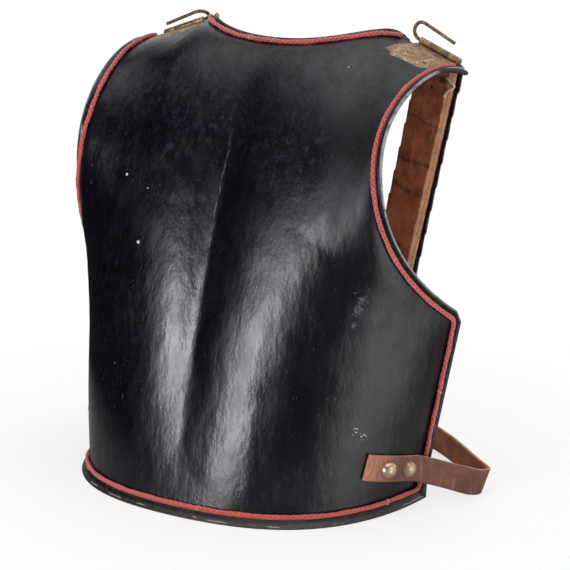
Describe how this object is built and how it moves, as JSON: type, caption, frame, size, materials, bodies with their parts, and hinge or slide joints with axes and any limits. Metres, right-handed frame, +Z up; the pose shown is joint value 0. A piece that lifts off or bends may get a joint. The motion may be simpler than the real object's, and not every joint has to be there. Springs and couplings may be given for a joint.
{
  "type": "cuirass back plate",
  "caption": "Cuirass back plate with corded flanges, hinged scale shoulder straps and a buckled waist belt.",
  "frame": {"origin": "foot of the spine line, in the middle of the resting face of the waist flange", "axes": "+Z up, +Y forward through the plate's open side, +X to the wearer's right"},
  "size_m": [0.3872, 0.2934, 0.3881],
  "materials": {
    "lacquered_iron": "gloss",
    "lacquered_scales": "gloss",
    "red_cord": "matte",
    "lining_leather": "satin",
    "belt_leather": "satin",
    "strap_leather": "satin",
    "aged_brass": "satin",
    "worn_brass": "satin"
  },
  "bodies": {
    "back": {"back_plate": "lacquered_iron", "waist_lining": "lining_leather", "neck_piping": "red_cord", "edge_piping": "red_cord", "right_shoulder_leaf": "worn_brass", "left_shoulder_leaf": "worn_brass", "shoulder_leaf_rivets": "aged_brass", "right_belt": "belt_leather", "left_belt": "belt_leather", "right_belt_rivets": "worn_brass", "left_belt_rivets": "worn_brass", "right_belt_burrs": "worn_brass", "left_belt_burrs": "worn_brass", "belt_keeper": "belt_leather"},
    "right_strap": {"right_strap_leaf": "worn_brass", "right_strap_leaf_rivets": "aged_brass", "right_strap_leather": "strap_leather", "right_strap_lining": "strap_leather", "right_strap_scales": "lacquered_scales", "right_scale_rivets": "aged_brass", "right_strap_end_plate": "worn_brass"},
    "left_strap": {"left_strap_leaf": "worn_brass", "left_strap_leaf_rivets": "aged_brass", "left_strap_leather": "strap_leather", "left_strap_lining": "strap_leather", "left_strap_scales": "lacquered_scales", "left_scale_rivets": "aged_brass", "left_strap_end_plate": "worn_brass"},
    "right_pin": {"right_hinge_pin": "aged_brass"},
    "left_pin": {"left_hinge_pin": "aged_brass"},
    "buckle": {"buckle_frame": "worn_brass"},
    "prong": {"buckle_prong": "worn_brass"}
  },
  "joints": [
    {"name": "right_strap_swing", "type": "hinge", "parent": "back", "child": "right_strap", "pos_m": [0.1265, 0.2102, 0.3612], "axis": [0.9335, -0.0875, -0.3476], "range_deg": [-15, 100]},
    {"name": "left_strap_swing", "type": "hinge", "parent": "back", "child": "left_strap", "pos_m": [-0.1265, 0.2102, 0.3612], "axis": [0.9335, 0.0875, 0.3476], "range_deg": [-15, 100]},
    {"name": "right_pin_turn", "type": "hinge", "parent": "back", "child": "right_pin", "pos_m": [0.1265, 0.2102, 0.3612], "axis": [0.9335, -0.0875, -0.3476], "range_deg": [-10, 55]},
    {"name": "left_pin_turn", "type": "hinge", "parent": "back", "child": "left_pin", "pos_m": [-0.1265, 0.2102, 0.3612], "axis": [0.9335, 0.0875, 0.3476], "range_deg": [-65, 0]},
    {"name": "buckle_turn", "type": "hinge", "parent": "back", "child": "buckle", "pos_m": [-0.1028, 0.2562, 0.0113], "axis": [0, 0, 1], "range_deg": [-80, 80]},
    {"name": "prong_lift", "type": "hinge", "parent": "buckle", "child": "prong", "pos_m": [-0.1028, 0.2562, 0.0113], "axis": [0, 0, 1], "range_deg": [0, 70]}
  ]
}
